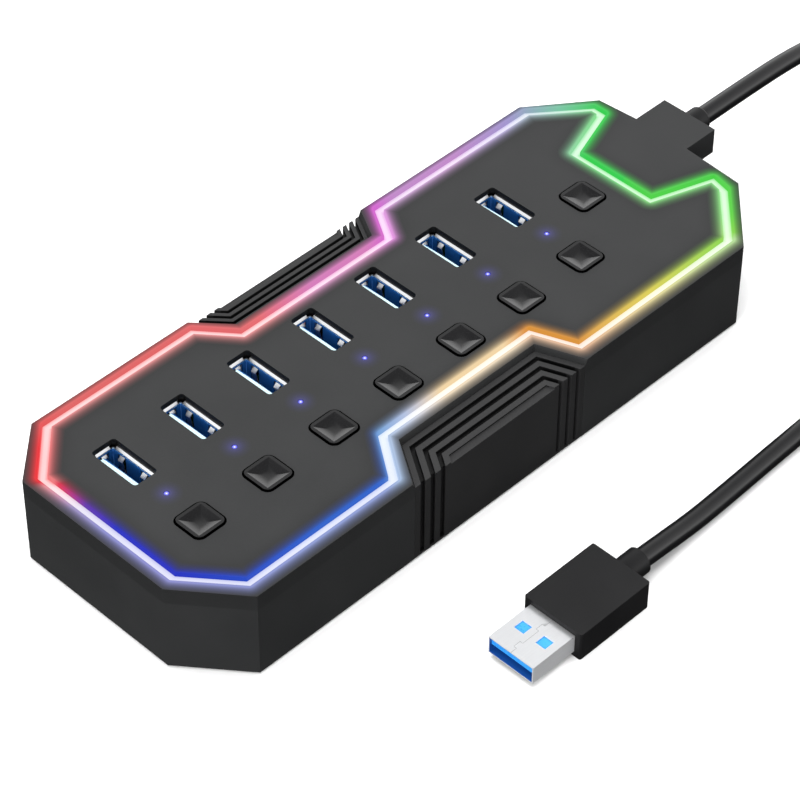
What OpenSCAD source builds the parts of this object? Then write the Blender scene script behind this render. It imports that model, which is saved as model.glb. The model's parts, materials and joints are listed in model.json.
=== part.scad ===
// Seven-port desktop USB hub with a switch for each port, a lit edge channel and a tethered cable.
// Stations along the body (X) are measured from its plain end; placed() moves them to the part frame,
// whose origin is the middle of the footprint, on the surface that the hub stands on.

/* [Body] */
// Length of the body without the cable boss
hub_l = 172.2; // [171:0.1:175]
// Width of the body
hub_w = 67; // [66:0.5:70]
// Height of the top face above the table
hub_h = 22.5; // [22.5:0.1:24]
// Thickness of the side walls
wall_t = 2; // [1.6:0.1:2.2]
// Thickness of the bottom cover
cover_t = 1.5; // [1.2:0.1:1.6]
// Clear height under the shell, set by the feet
foot_h = 0.5; // [0.4:0.1:1]
// Diameter of a rubber foot
foot_d = 10; // [8:0.5:11]

/* [Top panel] */
// Thickness of the inset top panel
panel_t = 2.6; // [2.2:0.1:2.8]
// Thickness of the deck under the panel
deck_t = 1.4; // [1.2:0.1:1.6]
// Width of the lit channel
light_w = 2; // [1.6:0.1:2.2]
// Depth of the light guide's surface below the top face
light_recess = 1; // [0.6:0.1:1.4]

/* [Side grilles] */
// Depth of the grille tops below the top face
grille_drop = 1.4; // [1:0.1:2]
// Depth of the grooves between the ribs
groove_depth = 1; // [0.5:0.1:1.2]
// Step from the last rib down to the plain middle
grille_step = 0.5; // [0.3:0.1:0.8]
// Outward lean of the notch walls over their height
notch_lean = 0.55; // [0.3:0.05:0.7]

/* [Ports] */
// Distance between neighbouring ports
port_pitch = 18.5; // [18:0.1:18.6]
// Station of the first port
first_port_x = 17.85; // [17.5:0.05:18.5]
// Offset of the row of ports from the middle line
port_y = 12; // [11.5:0.1:12.5]
// Length of a port opening in the panel
mouth_l = 13.3; // [13.2:0.1:13.6]
// Width of a port opening in the panel
mouth_w = 6.2; // [6:0.1:6.4]
// Depth of a socket's rim below the top face
rim_drop = 1.45; // [1.3:0.05:1.6]

/* [Buttons] */
// Offset of the row of buttons from the middle line
button_y = -10.8; // [-11.2:0.1:-10.4]
// Width of a button cap
cap_w = 7.6; // [7.4:0.1:8]
// Gap between a cap and its hole
cap_gap = 0.45; // [0.3:0.05:0.5]
// Height of a cap above the top face
cap_proud = 0.3; // [0.2:0.1:0.6]
// Travel of a button
cap_travel = 1.2; // [0.8:0.1:1.4]

/* [Cable and plug] */
// Diameter of the cable
cable_d = 4.5; // [4:0.1:4.6]
// Radius of the coil at the middle of its turns
coil_r = 26; // [25:0.5:27]
// Length of the plug's overmould
mould_l = 20.4; // [18:0.2:22]
// Width of the plug's overmould
mould_w = 15.4; // [14:0.2:16]
// Thickness of the plug's overmould
mould_t = 7.2; // [6.6:0.1:8]

/* [Hidden] */
port_count = 7;
PORTS = [1 : port_count];
$fn = 32;
eps = 0.01;

// Heights
half_w = hub_w / 2;
deck_top = hub_h - panel_t;
deck_under = deck_top - deck_t;
guide_top = hub_h - light_recess;
grille_top = hub_h - grille_drop;
rim_z = hub_h - rim_drop;
socket_h = 14.45;
board_top = rim_z - socket_h;
board_t = 1.6;
board_under = board_top - board_t;
cover_top = foot_h + cover_t;
post_foot = 3.2;
fit = 0.05;

// Cable boss on the far end
boss_l = 9.6;
boss_w = 15;
boss_h = 6.6;
boss_y = 4.5;
cable_z = hub_h - boss_h / 2;
boss_end = hub_l + boss_l;
mid_x = boss_end / 2;
collar_l = 4.5;
collar_d = 5.8;
tail_start = 162;
tail_bare = 3;
wire_r = 0.4;
wire_bend_r = 2.5;
wire_x = tail_start - tail_bare - wire_bend_r;

// Plan of the body, counter-clockwise; a notch is [mouth, floor, floor, mouth] stations along X
front_notch = [54.2, 61.3, 101.4, 105.8];
front_floor = 22.5;
back_notch = [55, 61.9, 101.9, 106.1];
back_floor = 25.8;
near_end = [[12, half_w], [0, 22.3], [0, -19.2], [11.5, -half_w]];
far_end = [
    [hub_l - 16.4, -half_w], [hub_l - 1, -18.9], [hub_l, boss_y - boss_w / 2],
    [hub_l, boss_y + boss_w / 2], [hub_l - 0.9, 22.4], [hub_l - 15.6, half_w]
];

// Middle line of the lit channel, counter-clockwise
light_loop = [
    [14, 31], [3.6, 20.4], [3.6, -18], [13, -29.5], [52.8, -29.5], [60.1, -19.1],
    [103.8, -19.1], [108, -29.5], [155.4, -29.5], [167.5, -17.8], [168.4, -13.9], [153.5, -8.8],
    [153.5, 13.7], [168.2, 18.8], [168.2, 21.5], [156.4, 31], [109.2, 31], [104.2, 22.8],
    [60.8, 22.8], [54, 31]
];

// Places on the board, measured from the plain end
mode_place = [143.6, 2.3];
led_shift = 0.2;
cap_shift = -0.3;
led_y = -0.5;
case_screw_places = [[13, 23], [13, -21], [158, 23], [158, -21], [82.6, 21], [82.4, -14]];
board_screw_places = [[27.1, 26], [27.1, -24], [136, 26], [136, -24]];
foot_places = [[22, 20], [22, -20], [148, 20], [148, -20]];
controller_places = [[45, -4], [101, -4]];
peg_places = [
    [26, 30.2], [42, 30.2], [72, 22], [92, 22], [122, 30.2], [142, 30.2],
    [24, -28.7], [42, -28.7], [72, -18.3], [92, -18.3], [118, -28.7], [140, -28.7],
    [4.4, 8], [4.4, -8], [152.7, 2]
];
stake_places = [[35.9, 24], [63.6, -16.5], [128, 24], [100.8, -14], [9, 0], [148, -14]];

// Screws, posts, pegs and lenses
gap = 0.3;
post_r = 2.8;
post_root = 0.6;
pilot_h = 9;
standoff_r = 2.5;
screw_r = 1.25;
screw_reach = 7;
screw_head_r = 2.2;
head_from = foot_h + 0.3;
head_to = foot_h + 1.7;
board_screw_r = 0.9;
board_head_r = 1.9;
board_head_h = 1.3;
peg_r = 1;
stake_r = 1.2;
stake_reach = 0.6;
lens_r = 0.6;
foot_seat = 0.5;

// Ribs of a side grille, as shares of its depth
rib_share = 0.13;
groove_share = 0.104;
groove_foot = foot_h + 0.6;

// Caps and their switches
flange_w = 10.2;
flange_t = 1;
cap_r = 1.4;
dish_rim = 0.7;
dish_depth = 0.75;
dish_steps = 4;
stem_w = 3;
well_floor = board_top + 1.4;
stem_foot = well_floor + cap_travel + 0.4;
cap_under = deck_under + 0.3;
stem_in_cap = 1.5;
switch_w = 8.2;
switch_h = 6.4;
switch_leg = [0.8, 0.6, 1.2];
switch_leg_x = 2.5;

// Sockets: a shell with flared lips and spring tabs round a core with a tongue
shell_t = 0.3;
shell_l = 13.1;
shell_w = 5.72;
shell_r = 0.6;
mouth_r = 0.8;
mouth_shift = 0.15;
lip_h = 0.45;
lip_flare = 0.45;
lip_long = 11.2;
lip_short = 3.7;
lip_room = lip_flare + 2 * fit;
shell_top = rim_z - lip_h;
core_fit = 0.02;
lining_t = 0.2;
lining_drop = 0.1;
core_base_h = 2.8;
core_base_top = board_top + core_base_h;
tongue_top = rim_z - 0.65;
tongue_l = 10.6;
tongue_from = -1.85;
tongue_to = -0.05;
tongue_slope = [0.7, 0.8];
tongue_edge = 0.2;
tab_w = 1.3;
tab_y = 3.4;
tab_root = rim_z - 5.5;
tab_tip = rim_z - 1.2;
tab_reach = 1.15;
tab_reach_short = 0.8;
tab_slot = 0.35;
tab_slot_top = rim_z - 0.9;
leg_y = 4.5;
leg_w = 1.4;
leg_drop = 1.2;
pin_w = 0.4;
pin_hole_r = 0.4;
strip_t = 0.2;
pin_rows = [[-0.9, [-3.5, -1, 1, 3.5]], [0.9, [-4, -2, 0, 2, 4]]];

// Parts on the board
indicator_led = [1.6, 1.2, 0.7];
edge_led = [2, 1.6, 1.2];
chip_w = 7;
chip_t = 0.9;
chip_leg = [0.8, 0.3];
chip_leg_y = [-2.8 : 0.8 : 2.8];
capacitor_places = [[148, -24], [147, 14], [8, 14]];
capacitor_r = 3.1;
capacitor_h = 7.5;
crystal_places = [[31, -3.5], [86, -3.5]];
crystal = [4.8, 2.6, 1.5];
fuse_shift = [9.2, -13];
fuse = [2, 3.4, 0.9];

// Route of the cable, by hand, and the coil that it runs into
coil_at = [268, boss_y - coil_r - cable_d];
layer_h = cable_d;
hub_route = [
    [boss_end, boss_y, cable_z], [196, boss_y, cable_z], [206, boss_y, 19.1], [215, boss_y, 18.8],
    [224, boss_y, 17.8], [233, boss_y, 15.4], [242, boss_y, 12], [251, boss_y, 9],
    [260, boss_y, 7.2], [268, boss_y, 1.5 * layer_h]
];
plug_y = -68;
plug_x = 58.6;
plug_collar_l = 5.6;
plug_back = plug_x + mould_l + plug_collar_l;
plug_route = [
    [268, coil_at[1] - coil_r - cable_d, cable_d / 2], [257, -56.6, cable_d / 2],
    [245, -57.2, cable_d / 2], [233, -58.3, cable_d / 2], [221, -59.7, cable_d / 2],
    [209, -61.2, cable_d / 2], [197, -62.6, cable_d / 2], [185, -63.9, cable_d / 2],
    [173, -64.9, cable_d / 2], [161, -65.7, cable_d / 2], [149, -66.2, cable_d / 2],
    [137, -66.6, cable_d / 2], [125, -67, cable_d / 2], [113, -67.5, 2.3], [102, -67.9, 2.5],
    [93, plug_y, 3.1], [plug_back, plug_y, mould_t / 2]
];
tube_sides = 10;
tie_w = 6;
tie_t = 0.6;

// Plug, a standard shell in a slim overmould
plug_shell_l = 12;
plug_shell_w = 12;
plug_shell_h = 4.5;
plug_shell_t = 0.3;
plug_socket = 6;
mould_r = 0.5;
plug_tip = plug_x - plug_shell_l;
plug_mid_z = mould_t / 2;
window_w = 2.6;
window_x = 6.6;
window_y = 2.9;
insert_t = 1.9;
seam_w = 0.1;

// ---- Plan helpers ----

function unit(v) = v / norm(v);
function outward(a) = [a[1], -a[0]];

// A corner moved out by d, with both of its edges, on a counter-clockwise outline
function mitre(p, q, r, d) =
    let (m = outward(unit(q - p)), n = outward(unit(r - q))) q + (m + n) * d / (1 + m * n);

function grown(points, d) =
    let (n = len(points))
    [for (i = [0 : n - 1]) mitre(points[(i + n - 1) % n], points[i], points[(i + 1) % n], d)];

function reversed(list) = [for (i = [len(list) - 1 : -1 : 0]) list[i]];
function across(points) = [for (p = points) [p[0], -p[1]]];

// A notch, its walls moved d into it, from its floor out to a distance reach from the middle line
function trapezoid(notch, floor_y, d, reach) =
    let (
        depth = half_w - floor_y,
        lean_a = (notch[1] - notch[0]) / depth,
        lean_b = (notch[3] - notch[2]) / depth,
        a = notch[1] + d * sqrt(1 + lean_a * lean_a),
        b = notch[2] - d * sqrt(1 + lean_b * lean_b),
        out = reach - floor_y
    )
    [
        [a - lean_a * out, reach], [a - lean_a * d, floor_y + d],
        [b + lean_b * d, floor_y + d], [b + lean_b * out, reach]
    ];

body_outline = concat(
    near_end,
    across(trapezoid(front_notch, front_floor, notch_lean, half_w)),
    far_end,
    reversed(trapezoid(back_notch, back_floor, notch_lean, half_w))
);
cavity_outline = grown(body_outline, -wall_t);

function port_place(i) = [first_port_x + (i - 1) * port_pitch, port_y];
function cap_place(i) = [first_port_x + (i - 1) * port_pitch + cap_shift, button_y];
function led_place(i) = [first_port_x + (i - 1) * port_pitch + led_shift, led_y];
cap_places = concat([for (i = PORTS) cap_place(i)], [mode_place]);

// ---- Shape helpers ----

module placed() {
    translate([-mid_x, 0, 0]) children();
}

module at_each(places) {
    for (p = places) translate([p[0], p[1], 0]) children();
}

module slab(points, from, to) {
    translate([0, 0, from]) linear_extrude(to - from) polygon(points);
}

module rounded(w, l, r) {
    square([w - 2 * r, l], center = true);
    square([w, l - 2 * r], center = true);
    for (x = [-1, 1], y = [-1, 1])
        translate([x * (w / 2 - r), y * (l / 2 - r)]) circle(r);
}

module rounded_block(w, l, r, from, to) {
    translate([0, 0, from]) linear_extrude(to - from) rounded(w, l, r);
}

module block(w, l, from, to) {
    translate([-w / 2, -l / 2, from]) cube([w, l, to - from]);
}

module drum(r, from, to) {
    translate([0, 0, from]) cylinder(h = to - from, r = r);
}

module rod_x(r, from, to) {
    translate([from, 0, 0]) rotate([0, 90, 0]) cylinder(h = to - from, r = r);
}

// ---- Case ----

// The leaning walls of a notch on the +Y side, above its grille
module notch_lean_cutter(notch, floor_y) {
    over = half_w + 1;
    hull() {
        slab(trapezoid(notch, floor_y, notch_lean, over), grille_top - eps, grille_top);
        slab(trapezoid(notch, floor_y, -eps, over), hub_h, hub_h + eps);
    }
}

module boss() {
    translate([hub_l - wall_t, boss_y - boss_w / 2, hub_h - boss_h])
        cube([boss_l + wall_t, boss_w, boss_h]);
}

module deck_holes() {
    at_each([for (i = PORTS) port_place(i)])
        block(shell_w + 2 * lip_room, shell_l + 2 * lip_room, deck_under - 1, deck_top + 1);
    at_each(cap_places)
        block(flange_w + 2 * gap, flange_w + 2 * gap, deck_under - 1, deck_top + 1);
    at_each([for (i = PORTS) led_place(i)]) drum(lens_r + gap, deck_under - 1, deck_top + 1);
    at_each(peg_places) drum(peg_r + gap, deck_under - 1, deck_top + 1);
    at_each(stake_places) drum(stake_r + fit, deck_under - 1, deck_top + 1);
}

module cable_passage() {
    passage_w = cable_d + 0.5;
    passage_l = 14;
    translate([0, boss_y, cable_z]) rod_x(cable_d / 2 + fit, tail_start, boss_end + 1);
    translate([wire_x - 1, boss_y - passage_w / 2, deck_under - 1])
        cube([passage_l, passage_w, cable_z + passage_w / 2 - deck_under + 1]);
}

module housing() {
    color("#4b4c4e") placed() {
        difference() {
            union() {
                slab(body_outline, foot_h, hub_h);
                boss();
            }
            slab(cavity_outline, foot_h - 1, deck_under);
            slab(grown(light_loop, light_w / 2), deck_top, hub_h + 1);
            mirror([0, 1, 0]) notch_lean_cutter(front_notch, front_floor);
            notch_lean_cutter(back_notch, back_floor);
            deck_holes();
            cable_passage();
        }
        at_each(case_screw_places) difference() {
            drum(post_r, post_foot, deck_under + eps);
            drum(screw_r + fit, post_foot - 1, post_foot + pilot_h);
        }
    }
}

module top_panel() {
    color("#4b4c4e") placed() {
        difference() {
            slab(grown(light_loop, -light_w / 2), deck_top, hub_h);
            at_each([for (i = PORTS) port_place(i)]) {
                translate([mouth_shift, 0, 0])
                    rounded_block(mouth_w, mouth_l, mouth_r, deck_top - 1, hub_h + 1);
                rounded_block(shell_w + 2 * lip_room, shell_l + 2 * lip_room, mouth_r,
                    deck_top - 1, rim_z + fit);
            }
            at_each(cap_places)
                rounded_block(cap_w + 2 * cap_gap, cap_w + 2 * cap_gap, cap_r + cap_gap,
                    deck_top - 1, hub_h + 1);
            at_each([for (i = PORTS) led_place(i)]) drum(lens_r + fit, deck_top - 1, hub_h + 1);
        }
        at_each(stake_places) drum(stake_r, deck_under - stake_reach, deck_top + eps);
    }
}

module light_guide() {
    color("#dff3ff") placed() {
        translate([0, 0, deck_top]) linear_extrude(guide_top - deck_top) difference() {
            polygon(grown(light_loop, light_w / 2 - fit));
            polygon(grown(light_loop, fit - light_w / 2));
        }
        at_each(peg_places) drum(peg_r, board_top + edge_led[2] + 0.4, deck_top + eps);
    }
}

module bottom_cover() {
    color("#2b2c2d") placed() {
        difference() {
            union() {
                slab(grown(cavity_outline, -fit), foot_h, cover_top);
                at_each(case_screw_places) drum(post_r + post_root, cover_top - eps, post_foot);
                at_each(board_screw_places) drum(standoff_r, cover_top - eps, board_under);
            }
            at_each(case_screw_places) {
                drum(screw_r + gap / 2, foot_h - 1, post_foot + 1);
                drum(screw_head_r + gap, foot_h - 1, head_to);
            }
            at_each(board_screw_places) drum(board_screw_r + fit, cover_top, board_under + 1);
            at_each(foot_places) drum(foot_d / 2 + fit, foot_h - 1, foot_h + foot_seat);
        }
    }
}

// ---- Side grilles ----

// One grille insert, on the +Y side: nested ribs that follow the notch, and a plain middle
module grille(notch, floor_y) {
    depth = half_w - floor_y - notch_lean;
    rib = rib_share * depth;
    groove = groove_share * depth;
    pitch = rib + groove;
    over = half_w + 1;
    difference() {
        slab(trapezoid(notch, floor_y, notch_lean + fit / 2, half_w), foot_h, grille_top);
        for (k = [0 : 2]) {
            inner = notch_lean + rib + k * pitch;
            intersection() {
                translate([0, 0, foot_h - 1]) linear_extrude(hub_h) difference() {
                    polygon(trapezoid(notch, floor_y, inner, over));
                    polygon(trapezoid(notch, floor_y, inner + groove, over + 1));
                }
                union() {
                    slab([[0, 0], [hub_l, 0], [hub_l, over + 1], [0, over + 1]],
                        grille_top - groove_depth, hub_h + 1);
                    slab([[0, half_w - groove_depth], [hub_l, half_w - groove_depth],
                        [hub_l, over + 1], [0, over + 1]], groove_foot, hub_h + 1);
                }
            }
        }
        slab(trapezoid(notch, floor_y, notch_lean + rib + 3 * pitch, over),
            grille_top - grille_step, hub_h);
    }
}

module front_grille() {
    color("#3f4041") placed() mirror([0, 1, 0]) grille(front_notch, front_floor);
}

module back_grille() {
    color("#3f4041") placed() grille(back_notch, back_floor);
}

// ---- Board and what is on it ----

module main_board() {
    color("#1f6b3a") placed() difference() {
        slab(grown(cavity_outline, -gap), board_under, board_top);
        at_each(case_screw_places) drum(post_r + gap, board_under - 1, board_top + 1);
        at_each(board_screw_places) drum(board_screw_r + gap / 2, board_under - 1, board_top + 1);
        at_each([for (i = PORTS) port_place(i)]) {
            for (row = pin_rows, y = row[1])
                translate([row[0], y, 0]) drum(pin_hole_r, board_under - 1, board_top + 1);
            for (x = [-1, 1], y = [-leg_y, leg_y])
                translate([x * (shell_w - shell_t) / 2, y, 0])
                    block(shell_t + gap, leg_w + gap, board_under - 1, board_top + 1);
        }
    }
}

// Turns pieces made at the +X wall to both long walls, or to both ends
module on_long_walls() {
    for (turn = [0, 180]) rotate([0, 0, turn]) children();
}

module on_ends() {
    for (turn = [90, 270]) rotate([0, 0, turn]) translate([(shell_l - shell_w) / 2, 0, 0]) children();
}

module in_pair() {
    for (y = [-tab_y, tab_y]) translate([0, y, 0]) children();
}

// A profile in X and Z, drawn out along Y over this length
module along_y(length, profile) {
    translate([0, length / 2, 0]) rotate([90, 0, 0]) linear_extrude(length) polygon(profile);
}

// A spring tab in the wall at +X, cut free on three sides and bent into the mouth by its reach
module spring_tab(reach) {
    wall = shell_w / 2;
    bend = tab_tip - reach + shell_t;
    along_y(tab_w, [
        [wall, tab_root], [wall - reach + shell_t, bend], [wall, tab_tip],
        [wall - shell_t, tab_tip], [wall - reach, bend], [wall - shell_t, tab_root]
    ]);
}

module tab_window(slot) {
    translate([shell_w / 2, 0, 0]) block(2, tab_w + 2 * slot, tab_root + 0.1, tab_slot_top);
}

// A lip on the wall at +X, flared outward to lead a plug in
module lip(length) {
    wall = shell_w / 2;
    root = shell_top - shell_t;
    along_y(length, [
        [wall - shell_t, root], [wall, root], [wall, shell_top], [wall + lip_flare, rim_z],
        [wall + lip_flare - shell_t, rim_z], [wall - shell_t, shell_top]
    ]);
}

module port_shell() {
    difference() {
        rounded_block(shell_w, shell_l, shell_r, board_top, shell_top);
        rounded_block(shell_w - 2 * shell_t, shell_l - 2 * shell_t, shell_r - shell_t,
            board_top - 1, shell_top + 1);
        on_long_walls() in_pair() tab_window(tab_slot);
        on_ends() tab_window(tab_slot);
    }
    in_pair() spring_tab(tab_reach);
    rotate([0, 0, 180]) in_pair() spring_tab(tab_reach_short);
    on_ends() spring_tab(tab_reach_short);
    on_long_walls() lip(lip_long);
    on_ends() lip(lip_short);
    for (x = [-1, 1], y = [-leg_y, leg_y])
        translate([x * (shell_w - shell_t) / 2, y, 0])
            block(shell_t, leg_w, board_under - leg_drop, board_top + 1);
}

module port_core() {
    inner_w = shell_w - 2 * (shell_t + core_fit);
    inner_l = shell_l - 2 * (shell_t + core_fit);
    inner_r = shell_r - shell_t - core_fit;
    lining_top = shell_top - lining_drop;
    rounded_block(inner_w, inner_l, inner_r, board_top, core_base_top);
    difference() {
        rounded_block(inner_w, inner_l, inner_r, core_base_top - eps, lining_top);
        rounded_block(inner_w - 2 * lining_t, inner_l - 2 * lining_t, inner_r - lining_t,
            core_base_top - 2 * eps, lining_top + 1);
        on_long_walls() in_pair() tab_window(tab_slot + lining_t);
        on_ends() tab_window(tab_slot + lining_t);
    }
    along_y(tongue_l, [
        [tongue_from, core_base_top - eps], [tongue_to, core_base_top - eps],
        [tongue_to, tongue_top - tongue_slope[1]], [tongue_to - tongue_slope[0], tongue_top],
        [tongue_from + tongue_edge, tongue_top], [tongue_from, tongue_top - tongue_edge]
    ]);
}

// Pins through the board, and the contact strips up the free side of the tongue
module contact_set() {
    for (row = pin_rows, y = row[1])
        translate([row[0], y, 0]) block(pin_w, pin_w, board_under - leg_drop - 0.2, board_top);
    for (y = pin_rows[0][1])
        translate([tongue_to + strip_t / 2, y, 0]) block(strip_t, 1, core_base_top, tongue_top - 2.4);
    for (y = pin_rows[1][1])
        translate([tongue_to + strip_t / 4, y, 0])
            block(strip_t / 2, 0.7, tongue_top - 2.2, tongue_top - 1);
}

module port_contacts() {
    color("#d9b45a") placed() at_each([for (i = PORTS) port_place(i)]) contact_set();
}

// The hollow of a cap's dish: four sides that steepen from the middle to the rim
module dish(reach, depth) {
    rotate([0, 0, 45]) rotate_extrude($fn = 4) polygon([
        for (k = [0 : dish_steps]) [reach * sqrt(2) * k / dish_steps, depth * pow(k / dish_steps, 2)],
        [0, depth]
    ]);
}

// A cap: a rounded square with a shallow dish and a flange that keeps it under the panel
module cap() {
    top = hub_h + cap_proud;
    difference() {
        union() {
            rounded_block(cap_w, cap_w, cap_r, cap_under, top);
            rounded_block(flange_w, flange_w, cap_r, cap_under, cap_under + flange_t);
        }
        translate([0, 0, top - dish_depth]) dish(cap_w / 2 - dish_rim, dish_depth + eps);
        block(stem_w + fit, stem_w + fit, cap_under - 1, cap_under + stem_in_cap + fit);
    }
}

module stem() {
    block(stem_w, stem_w, stem_foot, cap_under + stem_in_cap);
}

module switch_body() {
    difference() {
        block(switch_w, switch_w, board_top, board_top + switch_h);
        block(stem_w + gap, stem_w + gap, well_floor, board_top + switch_h + 1);
    }
    for (x = [-switch_leg_x, switch_leg_x], y = [-1, 1])
        translate([x, y * (switch_w + switch_leg[1]) / 2, 0])
            block(switch_leg[0], switch_leg[1], board_top, board_top + switch_leg[2]);
}

module switch_bodies() {
    color("#20201f") placed() at_each(cap_places) switch_body();
}

module indicator_leds() {
    color("#f4f1d8") placed()
        at_each([for (i = PORTS) led_place(i)])
            block(indicator_led[0], indicator_led[1], board_top, board_top + indicator_led[2]);
}

module indicator_lenses() {
    color("#7fb8ff") placed()
        at_each([for (i = PORTS) led_place(i)])
            drum(lens_r, board_top + indicator_led[2] + 0.2, hub_h - 0.1);
}

module edge_leds() {
    color("#f6f6f0") placed() at_each(peg_places)
        block(edge_led[0], edge_led[1], board_top, board_top + edge_led[2]);
}

// A square chip with a row of legs along each side, under the board
module controller() {
    block(chip_w, chip_w, board_under - 0.1 - chip_t, board_under - 0.1);
    for (turn = [0 : 90 : 270], y = chip_leg_y)
        rotate([0, 0, turn]) translate([(chip_w + chip_leg[0]) / 2, y, 0])
            block(chip_leg[0], chip_leg[1], board_under - chip_leg[1], board_under);
}

module hub_controllers() {
    color("#17181a") placed() at_each(controller_places) controller();
}

// Reservoir capacitors, two crystals and the row of resettable fuses, one for each port
module board_parts() {
    color("#8a8f96") placed() {
        at_each(capacitor_places) drum(capacitor_r, board_top, board_top + capacitor_h);
        at_each(crystal_places)
            rounded_block(crystal[0], crystal[1], crystal[1] / 2 - eps, board_under - crystal[2],
                board_under);
        at_each([for (i = PORTS) port_place(i) + fuse_shift])
            block(fuse[0], fuse[1], board_top, board_top + fuse[2]);
    }
}

// ---- Fasteners and feet ----

module case_screws() {
    color("#a7abaf") placed() at_each(case_screw_places) {
        difference() {
            drum(screw_head_r, head_from, head_to);
            for (turn = [0, 90]) rotate([0, 0, turn]) block(2.6, 0.6, head_from - 1, head_from + 0.6);
        }
        drum(screw_r, head_to - eps, post_foot + screw_reach);
    }
}

module board_screws() {
    color("#a7abaf") placed() at_each(board_screw_places) {
        difference() {
            drum(board_head_r, board_top, board_top + board_head_h);
            for (turn = [0, 90]) rotate([0, 0, turn])
                block(2.2, 0.5, board_top + board_head_h / 2, board_top + board_head_h + 1);
        }
        drum(board_screw_r, cover_top + 0.2, board_top + eps);
    }
}

module rubber_feet() {
    color("#1a1a1a") placed() at_each(foot_places) drum(foot_d / 2, 0, foot_h + foot_seat);
}

// ---- Cable ----

wire_y = [-1.35, -0.45, 0.45, 1.35];

// The jacketed end inside the boss, and its wires bent down to the board
module cable_tail() {
    bare = tail_start - tail_bare;
    color("#1b1b1c") placed() translate([0, boss_y, 0]) {
        translate([0, 0, cable_z]) rod_x(cable_d / 2, tail_start, boss_end);
        for (y = wire_y) translate([0, y, 0]) {
            translate([0, 0, cable_z]) rod_x(wire_r, bare, tail_start + eps);
            translate([bare, 0, cable_z - wire_bend_r]) rotate([90, 0, 0])
                rotate([0, 0, 90]) rotate_extrude(angle = 90)
                    translate([wire_bend_r, 0]) circle(wire_r);
            translate([wire_x, 0, 0]) drum(wire_r, board_top, cable_z - wire_bend_r + eps);
        }
    }
}

module cable_collar() {
    round_r = 0.8;
    color("#1f2021") placed() translate([boss_end, boss_y, cable_z]) rotate([0, 90, 0])
        difference() {
            rotate_extrude() {
                square([collar_d / 2, collar_l - round_r]);
                square([collar_d / 2 - round_r, collar_l]);
                translate([collar_d / 2 - round_r, collar_l - round_r]) circle(round_r);
            }
            translate([0, 0, -1]) cylinder(h = collar_l + 2, r = cable_d / 2 + fit);
        }
}

// A tube swept along a route: each ring stands square to the mean direction at its point
function heading(route, i) =
    unit(route[min(i + 1, len(route) - 1)] - route[max(i - 1, 0)]);

function ring(at, along, r) =
    let (side = unit(cross([0, 0, 1], along)), up = cross(along, side))
    [for (k = [0 : tube_sides - 1])
        at + r * (side * cos(360 * k / tube_sides) + up * sin(360 * k / tube_sides))];

module tube(route, r) {
    n = len(route);
    s = tube_sides;
    points = [for (i = [0 : n - 1]) each ring(route[i], heading(route, i), r)];
    sides = [for (i = [0 : n - 2], k = [0 : s - 1])
        [i * s + k, (i + 1) * s + k, (i + 1) * s + (k + 1) % s, i * s + (k + 1) % s]];
    ends = [[for (k = [0 : s - 1]) k], [for (k = [s - 1 : -1 : 0]) (n - 1) * s + k]];
    polyhedron(points, concat(sides, ends), convexity = 4);
}

module cable_lead_hub() {
    color("#1b1b1c") placed() tube(hub_route, cable_d / 2);
}

module cable_lead_plug() {
    color("#1b1b1c") placed() tube(plug_route, cable_d / 2);
}

// The outer shape of four and a half turns, three side by side and two high
module cable_coil() {
    inner = coil_r - 1.5 * cable_d - 0.8;
    outer = coil_r + 1.5 * cable_d;
    color("#1b1b1c") placed() translate([coil_at[0], coil_at[1], 0]) rotate_extrude()
        translate([(inner + outer) / 2, layer_h])
            rounded(outer - inner, 2 * layer_h, cable_d / 2 - eps);
}

module coil_tie() {
    inner = coil_r - 1.3 * cable_d;
    bundle = 2.2 * cable_d;
    height = 2 * layer_h + tie_t;
    color("#2c2d2e") placed() translate([coil_at[0] - inner - bundle, coil_at[1], 0])
        difference() {
            translate([-tie_t, -tie_w / 2, 0])
                cube([bundle + 2 * tie_t, tie_w, height + 2 * tie_t]);
            translate([0, -tie_w, tie_t]) cube([bundle, 2 * tie_w, height]);
        }
}

// ---- Plug ----

module plug_overmould() {
    color("#262728") placed() translate([plug_x, plug_y, 0]) {
        difference() {
            translate([mould_l / 2, 0, 0]) rounded_block(mould_l, mould_w, mould_r, 0, mould_t);
            translate([plug_socket / 2 - 1, 0, 0])
                block(plug_socket + 2, plug_shell_w + 2 * fit, plug_mid_z - plug_shell_h / 2 - fit,
                    plug_mid_z + plug_shell_h / 2 + fit);
        }
        translate([0, 0, plug_mid_z]) rod_x(3.1, mould_l - eps, mould_l + plug_collar_l);
    }
}

// The hairline seam of the folded shell: straight runs between the corners of two dovetails
seam = [[0, 0], [1.6, 0], [1.6, 0.7], [3.4, 0.7], [3.4, 0], [8, 0], [8, 0.7], [9.8, 0.7],
    [9.8, 0], [plug_shell_l, 0]];

module plug_seam(z) {
    for (i = [0 : len(seam) - 2]) {
        low = [min(seam[i][0], seam[i + 1][0]), min(seam[i][1], seam[i + 1][1])];
        size = [abs(seam[i][0] - seam[i + 1][0]), abs(seam[i][1] - seam[i + 1][1])];
        translate([low[0] - seam_w / 2, low[1] - seam_w / 2, z])
            cube([size[0] + seam_w, size[1] + seam_w, 1]);
    }
}

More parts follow.
